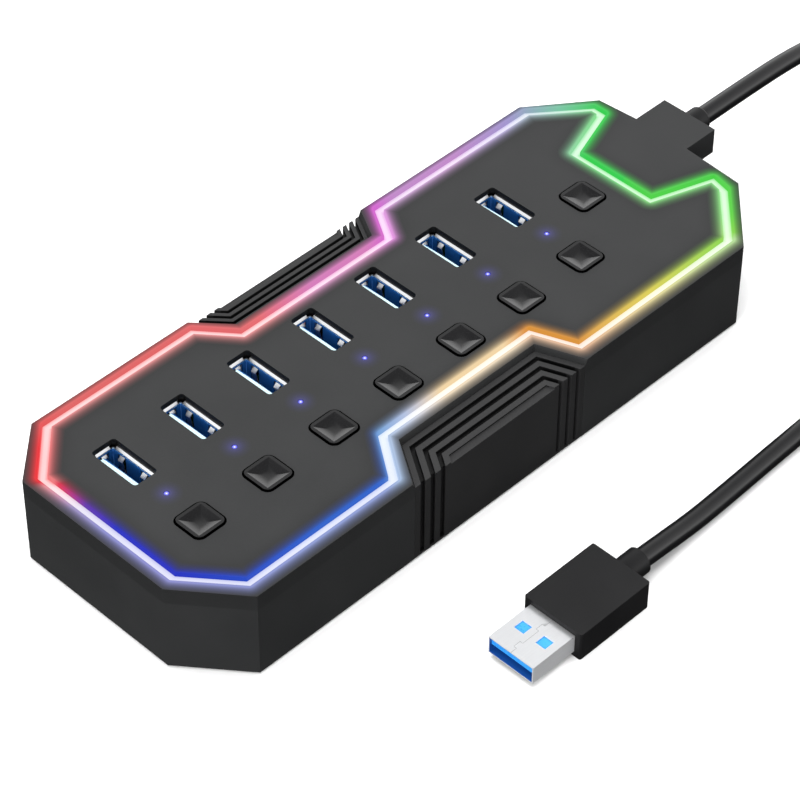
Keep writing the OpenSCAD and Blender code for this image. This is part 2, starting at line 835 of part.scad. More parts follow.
module plug_shell() {
    length = plug_shell_l + plug_socket - 0.2;
    color("#e3e5e8") placed() translate([plug_tip, plug_y, plug_mid_z]) difference() {
        translate([0, -plug_shell_w / 2, -plug_shell_h / 2])
            cube([length, plug_shell_w, plug_shell_h]);
        translate([-1, plug_shell_t - plug_shell_w / 2, plug_shell_t - plug_shell_h / 2])
            cube([length + 2, plug_shell_w - 2 * plug_shell_t, plug_shell_h - 2 * plug_shell_t]);
        for (y = [-window_y, window_y]) translate([window_x, y, 0])
            block(window_w, window_w, -plug_shell_h, plug_shell_h);
        plug_seam(plug_shell_h / 2 - 0.06);
    }
}

module plug_insert() {
    inner_w = plug_shell_w - 2 * plug_shell_t - 2 * fit;
    inner_top = plug_shell_h / 2 - plug_shell_t - fit;
    back = plug_shell_l + plug_socket - 0.4;
    color("#2f8fe0") placed() translate([plug_tip, plug_y, plug_mid_z]) {
        translate([0.5, -inner_w / 2, inner_top - insert_t]) cube([back - 0.5, inner_w, insert_t]);
        translate([plug_shell_l - 1, -inner_w / 2, -inner_top])
            cube([back - plug_shell_l + 1, inner_w, 2 * inner_top - insert_t + eps]);
    }
}

module plug_contacts() {
    strip_top = plug_shell_h / 2 - plug_shell_t - fit - insert_t;
    color("#d9b45a") placed() translate([plug_tip, plug_y, plug_mid_z]) {
        for (y = [-3.5, -1, 1, 3.5]) translate([2, y - 0.5, strip_top - 0.15]) cube([5, 1, 0.15]);
        for (y = [-4, -2, 0, 2, 4]) translate([8, y - 0.35, strip_top - 0.3]) cube([2, 0.7, 0.3]);
    }
}

// ---- Nodes ----

module one_port_shell(i) {
    color("#c9ccd0") placed() at_each([port_place(i)]) port_shell();
}

module one_port_core(i) {
    color("#1c5fb4") placed() at_each([port_place(i)]) port_core();
}

module one_cap(place) {
    color("#2a2b2c") placed() at_each([place]) cap();
}

module one_stem(place) {
    color("#e8e6df") placed() at_each([place]) stem();
}

housing();
top_panel();
light_guide();
bottom_cover();
front_grille();
back_grille();
main_board();
for (i = PORTS) one_port_shell(i);
for (i = PORTS) one_port_core(i);
port_contacts();
for (i = PORTS) one_cap(cap_place(i));
one_cap(mode_place);  // mode_button_cap
for (i = PORTS) one_stem(cap_place(i));
one_stem(mode_place);  // mode_switch_stem
switch_bodies();
indicator_leds();
indicator_lenses();
edge_leds();
hub_controllers();
board_parts();
case_screws();
board_screws();
rubber_feet();
cable_tail();
cable_collar();
cable_lead_hub();
cable_coil();
coil_tie();
cable_lead_plug();
plug_overmould();
plug_shell();
plug_insert();
plug_contacts();
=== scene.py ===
"""Looks for the seven-port USB hub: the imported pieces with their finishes, and the whole cable."""

import json
from math import atan2, cos, degrees, dist, pi, radians, sin

import bpy
from mathutils import Matrix, Vector


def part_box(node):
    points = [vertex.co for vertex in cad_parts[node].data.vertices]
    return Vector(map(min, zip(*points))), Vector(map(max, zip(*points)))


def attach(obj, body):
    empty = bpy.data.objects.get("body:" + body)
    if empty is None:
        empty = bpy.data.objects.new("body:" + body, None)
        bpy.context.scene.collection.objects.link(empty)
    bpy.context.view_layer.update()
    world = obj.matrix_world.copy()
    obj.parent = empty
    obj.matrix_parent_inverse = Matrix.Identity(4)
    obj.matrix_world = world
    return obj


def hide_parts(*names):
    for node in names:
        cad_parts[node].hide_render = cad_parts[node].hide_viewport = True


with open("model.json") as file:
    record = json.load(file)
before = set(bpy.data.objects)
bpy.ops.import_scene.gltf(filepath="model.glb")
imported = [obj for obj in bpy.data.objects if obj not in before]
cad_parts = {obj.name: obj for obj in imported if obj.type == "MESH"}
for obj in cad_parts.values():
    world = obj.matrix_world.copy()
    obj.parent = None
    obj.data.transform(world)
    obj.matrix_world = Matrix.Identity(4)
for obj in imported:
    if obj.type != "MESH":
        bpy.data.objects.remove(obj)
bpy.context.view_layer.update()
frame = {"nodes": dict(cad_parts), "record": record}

MM = 0.001
HOUSING_LOW, HOUSING_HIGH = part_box("housing")
# Stations along X are measured from the body's plain end, in millimetres
PLAIN_END = HOUSING_LOW.x / MM


def new_object(name, data):
    made = bpy.data.objects.new(name, data)
    bpy.context.scene.collection.objects.link(made)
    return made


# ---- Camera ----

AZIMUTH, ELEVATION, ROLL = -45.55, 43.81, 0.3
CAMERA_AT = (-0.3604, -0.3473, 0.4783)
LENS_MM = 144.97


def add_camera():
    data = bpy.data.cameras.new("camera")
    data.lens = LENS_MM
    camera = new_object("camera", data)
    turn = Matrix.Rotation(radians(AZIMUTH), 3, "Z")
    tilt = Matrix.Rotation(radians(90 - ELEVATION), 3, "X")
    roll = Matrix.Rotation(radians(ROLL), 3, "Z")
    camera.rotation_euler = (turn @ tilt @ roll).to_euler()
    camera.location = CAMERA_AT
    bpy.context.scene.camera = camera


add_camera()

# ---- Cable ----

CABLE_D = 4.5
CABLE_Z = 19.2
LYING_Z = CABLE_D / 2
BOSS_END, BOSS_Y = 181.8, 4.5
PLUG_Y = -68
HUB_ROUTE = [
    (BOSS_END, BOSS_Y, CABLE_Z), (196, BOSS_Y, CABLE_Z), (206, BOSS_Y, 19.1), (215, BOSS_Y, 18.8),
    (224, BOSS_Y, 17.8), (233, BOSS_Y, 15.4), (242, BOSS_Y, 12), (251, BOSS_Y, 9), (260, BOSS_Y, 7.2),
]
PLUG_ROUTE = [
    (257, -56.6, LYING_Z), (245, -57.2, LYING_Z), (233, -58.3, LYING_Z), (221, -59.7, LYING_Z),
    (209, -61.2, LYING_Z), (197, -62.6, LYING_Z), (185, -63.9, LYING_Z), (173, -64.9, LYING_Z),
    (161, -65.7, LYING_Z), (149, -66.2, LYING_Z), (137, -66.6, LYING_Z), (125, -67, LYING_Z),
    (113, -67.5, 2.3), (102, -67.9, 2.5), (93, PLUG_Y, 3.1), (84.6, PLUG_Y, 3.6),
]
CURVE_STEPS = 2
COIL_AT = (268, -26)
OUTER_R, INNER_R = 30.5, 21.5
LAYER_TURNS, DROP_TURNS = 2, 0.5
TURN_POINTS = 24
DROP_INWARD = 0.7
# The coil lies this much higher where the tie holds it, and the power sets how narrow the rise is
TIE_LIFT, TIE_POWER = 0.6, 6


def coil_point(turns):
    """Two turns inward on the upper layer, half a turn down to the lower one, and two turns outward."""
    step = (OUTER_R - INNER_R) / LAYER_TURNS
    lower_from = LAYER_TURNS + DROP_TURNS
    if turns < LAYER_TURNS:
        r, z = OUTER_R - step * turns, LYING_Z + CABLE_D
    elif turns < lower_from:
        share = (turns - LAYER_TURNS) / DROP_TURNS
        r = INNER_R - DROP_INWARD * sin(pi * share)
        z = CABLE_D * (1 + cos(pi * share) / 2)
    else:
        r, z = INNER_R + step * (turns - lower_from), LYING_Z
    angle = radians(90 - 360 * turns)
    rise = TIE_LIFT * max(0.0, -cos(angle)) ** TIE_POWER
    return (COIL_AT[0] + r * cos(angle), COIL_AT[1] + r * sin(angle), z + rise)


def smooth(points):
    """Points on a Catmull-Rom curve through the given ones."""
    ends = [points[0], *points, points[-1]]
    made = []
    for a, b, c, d in zip(ends, ends[1:], ends[2:], ends[3:]):
        a, b, c, d = map(Vector, (a, b, c, d))
        for k in range(CURVE_STEPS):
            t = k / CURVE_STEPS
            made.append(0.5 * (2 * b + (c - a) * t + (2 * a - 5 * b + 4 * c - d) * t * t
                               + (3 * b - a - 3 * c + d) * t ** 3))
    return made + [Vector(points[-1])]


def placed(point):
    """A point in stations as a point of the frame, in metres."""
    return Vector((point[0] + PLAIN_END, point[1], point[2])) * MM


def add_cable():
    last = round((2 * LAYER_TURNS + DROP_TURNS) * TURN_POINTS)
    coil = [coil_point(k / TURN_POINTS) for k in range(last + 1)]
    line = [placed(p) for p in smooth([*HUB_ROUTE, *coil, *PLUG_ROUTE])]
    data = bpy.data.curves.new("cable", "CURVE")
    data.dimensions = "3D"
    # The depth is 1, so each point's radius is the cable's own radius in metres
    data.bevel_depth = 1.0
    data.bevel_resolution = 8
    data.use_fill_caps = True
    spline = data.splines.new("POLY")
    spline.points.add(len(line) - 1)
    for point, at in zip(spline.points, line):
        point.co = (*at, 1)
        point.radius = CABLE_D / 2 * MM
    made = new_object("cable", data)
    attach(made, "hub")
    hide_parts("cable_lead_hub", "cable_coil", "cable_lead_plug")
    return made


cable = add_cable()

# ---- Node helpers ----


def new_material(name):
    material = bpy.data.materials.new(name)
    material.use_nodes = True
    return material, *nodes_of(material)


def nodes_of(material):
    """A material's node tree and its shader."""
    return material.node_tree, material.node_tree.nodes["Principled BSDF"]


def put(tree, socket, value):
    """Sets a socket, or links it where the value is another node's output."""
    if isinstance(value, bpy.types.NodeSocket):
        tree.links.new(value, socket)
    else:
        socket.default_value = value


def add(tree, kind, inputs=(), **settings):
    made = tree.nodes.new("ShaderNode" + kind)
    for name, value in settings.items():
        setattr(made, name, value)
    for key, value in dict(inputs).items():
        put(tree, made.inputs[key], value)
    return made


def maths(tree, operation, a, b=0.0, clamp=False):
    return add(tree, "Math", {0: a, 1: b}, operation=operation, use_clamp=clamp).outputs[0]


def one_less(tree, value):
    """One minus a value."""
    return maths(tree, "SUBTRACT", 1.0, value)


def both(tree, a, b):
    """The product of two shares."""
    return maths(tree, "MULTIPLY", a, b)


def within(tree, value, low, high):
    """1 where a value lies between two bounds."""
    return both(tree, maths(tree, "GREATER_THAN", value, low), maths(tree, "LESS_THAN", value, high))


def vector(tree, operation, a, b=(0, 0, 0)):
    return add(tree, "VectorMath", {0: a, 1: b}, operation=operation)


def scaled(tree, colour, by):
    return add(tree, "VectorMath", {0: colour, "Scale": by}, operation="SCALE").outputs[0]


def place_of(tree):
    return add(tree, "TexCoord").outputs["Object"]


def xyz(tree, value):
    return add(tree, "SeparateXYZ", {0: value}).outputs


def normal_z(tree):
    return xyz(tree, add(tree, "TexCoord").outputs["Normal"])[2]


def levelness(tree):
    """1 on level faces and 0 on upright ones."""
    return maths(tree, "ABSOLUTE", normal_z(tree))


def noise(tree, place, size_mm, detail=2.0, stretch=(1, 1, 1)):
    """Noise with features of about this size."""
    stretched = vector(tree, "MULTIPLY", place, stretch).outputs[0]
    made = add(tree, "TexNoise", {"Vector": stretched, "Scale": 1 / (size_mm * MM), "Detail": detail})
    return made.outputs[0]


def spread(tree, value, start, end, low=0.0, high=1.0):
    """The value's range from start to end, spread from low to high."""
    return add(tree, "MapRange", {0: value, 1: start, 2: end, 3: low, 4: high}).outputs[0]


def between(tree, value, low, high):
    """The value's middle range, from 0.3 to 0.7, spread from low to high."""
    return spread(tree, value, 0.3, 0.7, low, high)


def ramp(tree, value, stops):
    made = add(tree, "ValToRGB", {0: value})
    elements = made.color_ramp.elements
    while len(elements) < len(stops):
        elements.new(1.0)
    for element, (position, colour) in zip(elements, stops):
        element.position = position
        element.color = (*colour, 1)
    return made.outputs[0]


def grey_ramp(tree, value, stops):
    return ramp(tree, value, [(position, (level,) * 3) for position, level in stops])


def tinted(tree, colour, share):
    """White with this share of a colour in it."""
    white = scaled(tree, (1.0, 1.0, 1.0), one_less(tree, share))
    return vector(tree, "ADD", white, scaled(tree, colour, share)).outputs[0]


# ---- Building blocks of the finishes ----

BROAD_MM, BROAD_DETAIL = 14, 3
# How much of their colour the upright walls in holes and gaps keep under the painted shade
WALL_PAINTED_SHADE = 0.06


def finish_of(name, dark, light, rough=(0.4, 0.5), grain_mm=0.4, depth_mm=0.01, stretch=(1, 1, 1),
              **fixed):
    """A finish with slightly uneven colour and roughness and a fine grain."""
    material, tree, shader = new_material(name)
    place = place_of(tree)
    broad = noise(tree, place, BROAD_MM, BROAD_DETAIL)
    fine = noise(tree, place, grain_mm, stretch=stretch)
    mixed = maths(tree, "ADD", maths(tree, "MULTIPLY", broad, 0.6), maths(tree, "MULTIPLY", fine, 0.4))
    put(tree, shader.inputs["Base Color"], ramp(tree, mixed, [(0.35, dark), (0.65, light)]))
    put(tree, shader.inputs["Roughness"], between(tree, mixed, *rough))
    grain = add(tree, "Bump", {"Height": fine, "Strength": 1.0, "Distance": depth_mm * MM})
    put(tree, shader.inputs["Normal"], grain.outputs[0])
    for key, value in fixed.items():
        shader.inputs[key.replace("_", " ")].default_value = value
    return material


def base_of(shader):
    """The colour that a finish has so far."""
    return shader.inputs["Base Color"].links[0].from_socket


def shade_base(tree, shader, by):
    put(tree, shader.inputs["Base Color"], scaled(tree, base_of(shader), by))


def shade_walls(tree, shader):
    """Darkens the upright walls of a piece with painted shade, as its holes and sides get little light.
    """
    shade_base(tree, shader, spread(tree, levelness(tree), 0.0, 1.0, WALL_PAINTED_SHADE))


def paint_part(tree, shader, where, colour):
    """Gives the places where a mask is 1 a colour of their own."""
    mixed = add(tree, "Mix", {"Factor": where, "A": base_of(shader), "B": (*colour, 1)},
                data_type="RGBA")
    put(tree, shader.inputs["Base Color"], mixed.outputs["Result"])


def light_up(tree, shader, colour):
    put(tree, shader.inputs["Emission Color"], colour)
    shader.inputs["Emission Strength"].default_value = 1.0


# ---- Light channel ----

# The channel's middle line, anticlockwise from the plain end's far corner, in stations
LIGHT_LOOP = [
    (14, 31), (3.6, 20.4), (3.6, -18), (13, -29.5), (52.8, -29.5), (60.1, -19.1),
    (103.8, -19.1), (108, -29.5), (155.4, -29.5), (167.5, -17.8), (168.4, -13.9), (153.5, -8.8),
    (153.5, 13.7), (168.2, 18.8), (168.2, 21.5), (156.4, 31), (109.2, 31), (104.2, 22.8),
    (60.8, 22.8), (54, 31),
]
# A place's share of the way round is its angle about one of two centres, one for each long side
CENTRE_X = 86
CENTRE_REACH = 30
INDIGO, BLUE, ICE, PALE = (0.004, 0.015, 0.6), (0.01, 0.12, 0.66), (0.2, 0.42, 0.8), (0.5, 0.6, 0.85)
CREAM, ORANGE, AMBER, YELLOW = (1, 0.75, 0.42), (0.8, 0.3, 0.03), (0.85, 0.48, 0.08), (0.8, 0.7, 0.09)
LIME, LEAF, GREEN, TEAL = (0.42, 0.75, 0.08), (0.12, 0.75, 0.05), (0.03, 0.7, 0.08), (0.22, 0.65, 0.42)
LILAC, MAUVE, MAGENTA, PINK = (0.4, 0.33, 0.7), (0.6, 0.28, 0.66), (0.75, 0.12, 0.72), (0.75, 0.22, 0.55)
SALMON, CORAL, RED, CRIMSON = (0.9, 0.16, 0.18), (0.85, 0.14, 0.14), (0.95, 0.02, 0.03), (0.55, 0.02, 0.2)
VIOLET = (0.12, 0.02, 0.45)
# Both of the band's ends lie this far from the line between the long sides, and so does its middle
JUST = 0.01
BAND = [
    ((3.6, -JUST), INDIGO), ((3.6, -17), INDIGO), ((33, -29.5), BLUE), ((50, -29.5), BLUE),
    ((58, -22), ICE), ((67, -19.1), PALE), ((78, -19.1), CREAM), ((97, -19.1), CREAM),
    ((105, -22), ORANGE), ((116, -29.5), AMBER), ((132, -29.5), YELLOW), ((148, -29.5), LIME),
    ((161, -24), LEAF), ((168, -JUST), GREEN), ((168, JUST), GREEN), ((168.2, 20), GREEN),
    ((162, 26), TEAL), ((150, 31), LILAC), ((133, 31), MAUVE), ((114, 31), MAUVE),
    ((107, 27), MAGENTA), ((98, 22.8), PINK), ((82, 22.8), PINK), ((67, 22.8), SALMON),
    ((48, 31), CORAL), ((20, 31), CORAL), ((10, 27), RED), ((3.6, 18), RED), ((3.6, 14), CRIMSON),
    ((3.6, 9), VIOLET), ((3.6, JUST), INDIGO),
]
# The stretch from the cable's end along the sockets' side counts as 1, and the rest as 0
SIDES = [((153, -29.5), 0), ((158, -27), 1), ((3.6, 20), 1), ((3.6, 16), 0)]

CHANNEL_HALF_MM = 1.0
# The strip's core, and how much of the band's colour is in the core and at the edges, as SIDES counts
CORE_HALF_MM = 0.3
CORE_TINTS = (0.3, 0.42)
EDGE_TINTS = (0.45, 0.75)
STRIP_GLOW = 1.05
# How far the painted glow of the channel's light reaches over each piece, how strongly, and how white it
# is, as SIDES counts
PANEL_PAINTED_GLOW = {"reach_mm": 0.9, "glow": 1.05, "whites": (0.0, 0.2)}
HOUSING_PAINTED_GLOW = {"reach_mm": 0.95, "glow": 1.35, "whites": (0.3, 0.0)}
# The brightest that the painted glow gets
PAINTED_GLOW_MOST = 0.85
FADE_TAIL = 0.04
# Painted shade: the case's colour is darkened beside the channel, under the painted glow, so that the
# glow keeps its colour
CHANNEL_PAINTED_SHADE = 0.95
CHANNEL_PAINTED_SHADE_REACH_MM = 1.9
# Upright faces this far outside the channel get no painted glow, and nothing this far below the top gets
# the painted glow or the painted shade
SIDE_FROM_MM = 0.6
PAINTED_LIGHT_DEPTH_MM = 4

LAMP_FIRST = (18.05, -0.5)
LAMP_PITCH = 18.5
LAMP_LAST = 6
# How far the painted violet glow round each lamp reaches over the case, how strongly it glows, and its
# colour
LAMP_PAINTED_GLOW_REACH_MM = 1.1
LAMP_PAINTED_GLOW = 0.3
LAMP_HUE = (0.18, 0.16, 1.0)


def way_round(x, y):
    """The share of the way round at a place in stations, as share_round works it out in nodes."""
    turn = degrees(atan2(abs(y) + CENTRE_REACH, x - CENTRE_X)) / 360
    return 0.5 - turn if y < 0 else 0.5 + turn


def share_round(tree, place):
    """How far a place lies round the channel, from 0 to 1."""
    x, y = xyz(tree, place)[:2]
    reach = maths(tree, "ADD", maths(tree, "ABSOLUTE", y), CENTRE_REACH * MM)
    run = maths(tree, "SUBTRACT", x, (CENTRE_X + PLAIN_END) * MM)
    turn = maths(tree, "DIVIDE", maths(tree, "ARCTAN2", reach, run), 2 * pi)
    side = maths(tree, "SIGN", maths(tree, "ADD", y, JUST / 100 * MM))
    return maths(tree, "ADD", maths(tree, "MULTIPLY", turn, side), 0.5)


def hue_of(tree, share):
    """The band's saturated colour at a share of the way round."""
    stops = sorted(((way_round(*at), colour) for at, colour in BAND), key=lambda stop: stop[0])
    return ramp(tree, share, stops)


def sockets_side(tree, share):
    """1 on the channel's runs on the sockets' side and the cable's end, and 0 on the others."""
    return grey_ramp(tree, share, [(way_round(*at), level) for at, level in SIDES])


def segment_group():
    """A node group that gives the distance from a place to a straight run that starts at another."""
    tree = bpy.data.node_groups.new("distance_to_run", "ShaderNodeTree")
    for name in ("Place", "Start", "Run"):
        tree.interface.new_socket(name, in_out="INPUT", socket_type="NodeSocketVector")
    tree.interface.new_socket("Distance", in_out="OUTPUT", socket_type="NodeSocketFloat")
    given = tree.nodes.new("NodeGroupInput").outputs
    offset = vector(tree, "SUBTRACT", given["Place"], given["Start"]).outputs[0]
    along = vector(tree, "DOT_PRODUCT", offset, given["Run"]).outputs["Value"]
    whole = vector(tree, "DOT_PRODUCT", given["Run"], given["Run"]).outputs["Value"]
    nearest = scaled(tree, given["Run"], maths(tree, "DIVIDE", along, whole, clamp=True))
    put(tree, tree.nodes.new("NodeGroupOutput").inputs[0],
        vector(tree, "DISTANCE", offset, nearest).outputs["Value"])
    return tree


SEGMENT = segment_group()


def distance_to_loop(tree, place):
    """How far a place lies from the channel's middle line, seen from above."""
    flat = vector(tree, "MULTIPLY", place, (1, 1, 0)).outputs[0]
    nearest = None
    for a, b in zip(LIGHT_LOOP, LIGHT_LOOP[1:] + LIGHT_LOOP[:1]):
        run = Vector((b[0] - a[0], b[1] - a[1], 0)) * MM
        group = add(tree, "Group", {"Place": flat, "Start": placed((*a, 0)), "Run": run},
                    node_tree=SEGMENT)
        reached = group.outputs[0]
        nearest = reached if nearest is None else maths(tree, "MINIMUM", nearest, reached)
    return nearest


def distance_to_lamps(tree, place):
    """How far a place lies from the nearest of the row of indicator lamps."""
    x, y = xyz(tree, place)[:2]
    along = maths(tree, "SUBTRACT", x, (LAMP_FIRST[0] + PLAIN_END) * MM)
    which = maths(tree, "ROUND", maths(tree, "DIVIDE", along, LAMP_PITCH * MM))
    held = maths(tree, "MINIMUM", maths(tree, "MAXIMUM", which, 0), LAMP_LAST)
    aside = maths(tree, "SUBTRACT", along, maths(tree, "MULTIPLY", held, LAMP_PITCH * MM))
    off = maths(tree, "SUBTRACT", y, LAMP_FIRST[1] * MM)
    flat = add(tree, "CombineXYZ", {0: aside, 1: off, 2: 0})
    return vector(tree, "LENGTH", flat.outputs[0]).outputs["Value"]


def fading(tree, distance, reach_mm):
    """A glow that falls off with distance and ends a few reaches away."""
    fall = maths(tree, "EXPONENT", maths(tree, "DIVIDE", distance, -reach_mm * MM))
    above = maths(tree, "MAXIMUM", maths(tree, "SUBTRACT", fall, FADE_TAIL), 0)
    return maths(tree, "DIVIDE", above, 1 - FADE_TAIL)


def case_finish(name, reach_mm, glow, whites):
    """The case's moulded plastic, with a painted glow of the channel's and the lamps' light, and painted
    shade beside the channel.
    """
    material = finish_of(name, (0.019, 0.0195, 0.02), (0.023, 0.0235, 0.024), rough=(0.42, 0.52),
                         grain_mm=0.35, depth_mm=0.012, Specular_IOR_Level=0.25)
    tree, shader = nodes_of(material)
    place = place_of(tree)
    share = share_round(tree, place)
    off = maths(tree, "SUBTRACT", distance_to_loop(tree, place), CHANNEL_HALF_MM * MM)
    away = maths(tree, "MAXIMUM", off, 0)
    upper = maths(tree, "GREATER_THAN", xyz(tree, place)[2], HOUSING_HIGH.z - PAINTED_LIGHT_DEPTH_MM * MM)
    # Painted shade: the case's colour is darkened near the channel
    shade = both(tree, fading(tree, away, CHANNEL_PAINTED_SHADE_REACH_MM), both(tree, upper, CHANNEL_PAINTED_SHADE))
    shade_base(tree, shader, one_less(tree, shade))
    outside = both(tree, maths(tree, "LESS_THAN", levelness(tree), 0.5),
                   maths(tree, "GREATER_THAN", off, SIDE_FROM_MM * MM))
    # Painted glow: the channel's light, in the band's colours, painted on the case near the channel
    painted_glow_mask = both(tree, upper, one_less(tree, outside))
    painted_glow_share = both(tree, fading(tree, away, reach_mm), both(tree, painted_glow_mask, glow))
    white = between(tree, sockets_side(tree, share), *whites)
    hue = tinted(tree, hue_of(tree, share), one_less(tree, white))
    painted_channel_glow = scaled(tree, hue, maths(tree, "MINIMUM", painted_glow_share, PAINTED_GLOW_MOST))
    # Painted glow: a violet glow painted on the case round each indicator lamp
    lamps = fading(tree, distance_to_lamps(tree, place), LAMP_PAINTED_GLOW_REACH_MM)
    painted_lamp_glow = scaled(tree, LAMP_HUE, both(tree, lamps, LAMP_PAINTED_GLOW))
    light_up(tree, shader, vector(tree, "ADD", painted_channel_glow, painted_lamp_glow).outputs[0])
    return material


def panel_finish():
    """The case's plastic with its painted glow, and painted shade on the upright walls in its holes."""
    material = case_finish("panel", **PANEL_PAINTED_GLOW)
    shade_walls(*nodes_of(material))
    return material


def strip_finish():
    """The frosted light guide: nearly white along its middle, and in the band's colours at its edges."""
    material, tree, shader = new_material("light_guide")
    place = place_of(tree)
    grain = noise(tree, place, 0.5)
    put(tree, shader.inputs["Base Color"], grey_ramp(tree, grain, [(0.3, 0.03), (0.7, 0.05)]))
    put(tree, shader.inputs["Roughness"], between(tree, grain, 0.35, 0.5))
    share = share_round(tree, place)
    side = sockets_side(tree, share)
    tint = spread(tree, distance_to_loop(tree, place), CORE_HALF_MM * MM, CHANNEL_HALF_MM * MM,
                  between(tree, side, *CORE_TINTS), between(tree, side, *EDGE_TINTS))
    glow = between(tree, noise(tree, place, 9), 0.95 * STRIP_GLOW, STRIP_GLOW)
    light_up(tree, shader, scaled(tree, tinted(tree, hue_of(tree, share), tint), glow))
    return material


# ---- Finishes ----

LENS_R_MM = 0.6
# How far below its top each tongue's up-facing end takes the painted highlight
TONGUE_HIGHLIGHT_MM = 0.3
# The plug's skin is thinner than its sheet, so that only the faces inside it turn blue
PLUG_SKIN_MM = 0.27
# How metallic the upright and the level faces are; the upright ones show a painted lit grey in place of a
# reflection
PLUG_METALLIC = (0.55, 0.85)
# Depths below the plug's top between which painted shade darkens the level faces, such as the seam's
SEAM_PAINTED_SHADE_MM = (0.05, 0.02)
# Depths below the grilles' tops between which painted shade darkens the floor of each groove
GROOVE_PAINTED_SHADE_MM = (0.9, 0.6)
# Upright walls this near the grilles' outer faces keep more of their colour under the painted shade
GRILLE_RIM_MM = 1.1
TRACKS_PER_METRE = 180.0


def lens_finish():
    """A small clear lens, bright in its middle."""
    material = finish_of("indicator_lens", (0.1, 0.12, 0.5), (0.2, 0.22, 0.7), rough=(0.15, 0.25),
                         grain_mm=0.3, depth_mm=0.004)
    tree, shader = nodes_of(material)
    middle = maths(tree, "DIVIDE", distance_to_lamps(tree, place_of(tree)), LENS_R_MM * MM)
    light_up(tree, shader, ramp(tree, middle, [
        (0.1, (1.0, 0.98, 1.0)), (0.4, (0.22, 0.2, 0.9)), (0.75, (0.06, 0.05, 0.35)),
        (1.0, (0.03, 0.03, 0.18))]))
    return material


def core_finish():
    """The sockets' blue plastic, with a pale painted highlight on the up-facing end of each tongue."""
    material = finish_of("socket_blue", (0.012, 0.09, 0.3), (0.02, 0.13, 0.42), rough=(0.3, 0.4))
    tree, shader = nodes_of(material)
    facing_up = maths(tree, "GREATER_THAN", normal_z(tree), 0.9)
    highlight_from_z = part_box("port_core_1")[1].z - TONGUE_HIGHLIGHT_MM * MM
    # Painted highlight: the up-facing faces at each tongue's end are pale
    end = both(tree, facing_up, maths(tree, "GREATER_THAN", xyz(tree, place_of(tree))[2], highlight_from_z))
    paint_part(tree, shader, end, (0.62, 0.85, 0.9))
    return material


def cap_finish():
    """Satin black, with painted shade on the upright sides in their holes."""
    material = finish_of("cap", (0.005, 0.005, 0.0055), (0.008, 0.008, 0.0085), rough=(0.18, 0.24),
                         grain_mm=0.25, depth_mm=0.002, Specular_IOR_Level=0.4)
    shade_walls(*nodes_of(material))
    return material


def plug_finish():
    """Bright plated sheet, with sides made less metallic so that they show a painted lit grey in place of
    a reflection of the dark ground, painted shade on the level faces below its top, and a blue inside.
    """
    material = finish_of("plug_metal", (0.88, 0.89, 0.91), (0.93, 0.94, 0.96), rough=(0.28, 0.31),
                         grain_mm=0.3, depth_mm=0.0004, stretch=(0.1, 1, 1))
    tree, shader = nodes_of(material)
    low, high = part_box("plug_shell")
    skin = PLUG_SKIN_MM * MM
    y, z = xyz(tree, place_of(tree))[1:3]
    inside = both(tree, within(tree, y, low.y + skin, high.y - skin),
                  within(tree, z, low.z + skin, high.z - skin))
    level = levelness(tree)
    # Painted reflection: upright faces are less metallic, so that they look lit grey
    put(tree, shader.inputs["Metallic"],
        both(tree, between(tree, level, *PLUG_METALLIC), one_less(tree, inside)))
    # Painted shade: level faces below the top, the seam's among them, are darkened
    seam = spread(tree, z, high.z - SEAM_PAINTED_SHADE_MM[0] * MM, high.z - SEAM_PAINTED_SHADE_MM[1] * MM, 0.5)
    shade_base(tree, shader, maths(tree, "MAXIMUM", seam, maths(tree, "LESS_THAN", level, 0.5)))
    paint_part(tree, shader, inside, (0.01, 0.08, 0.35))
    return material


def grille_finish():
    """The case's plastic, with painted shade in the grooves between the ribs."""
    material = finish_of("grille", (0.019, 0.019, 0.0195), (0.024, 0.024, 0.0245), rough=(0.42, 0.52),
                         Specular_IOR_Level=0.25)
    tree, shader = nodes_of(material)
    y, z = xyz(tree, place_of(tree))[1:3]
    top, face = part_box("front_grille")[1].z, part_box("back_grille")[1].y
    # Painted shade: the grooves' floor and upright walls are darkened, the walls near the outer faces
    # less
    groove_floor_shade = spread(tree, z, top - GROOVE_PAINTED_SHADE_MM[0] * MM, top - GROOVE_PAINTED_SHADE_MM[1] * MM, 0.2)
    rim = maths(tree, "GREATER_THAN", maths(tree, "ABSOLUTE", y), face - GRILLE_RIM_MM * MM)
    walls = spread(tree, rim, 0.0, 1.0, 0.2, 0.8)
    upright = maths(tree, "LESS_THAN", levelness(tree), 0.5)
    shade_base(tree, shader, add(tree, "Mix", {0: upright, 2: groove_floor_shade, 3: walls}).outputs[0])
    return material


def board_finish():
    """Solder mask with faint copper tracks under it."""
    material, tree, shader = new_material("board")
    place = place_of(tree)
    cells = add(tree, "TexVoronoi", {"Vector": place, "Scale": TRACKS_PER_METRE},
                distance="MANHATTAN")
    tracks = ramp(tree, cells.outputs["Distance"],
                  [(0.3, (0.015, 0.12, 0.045)), (0.36, (0.03, 0.2, 0.07))])
    put(tree, shader.inputs["Base Color"], tracks)
    put(tree, shader.inputs["Roughness"], between(tree, noise(tree, place, 3), 0.25, 0.35))
    return material


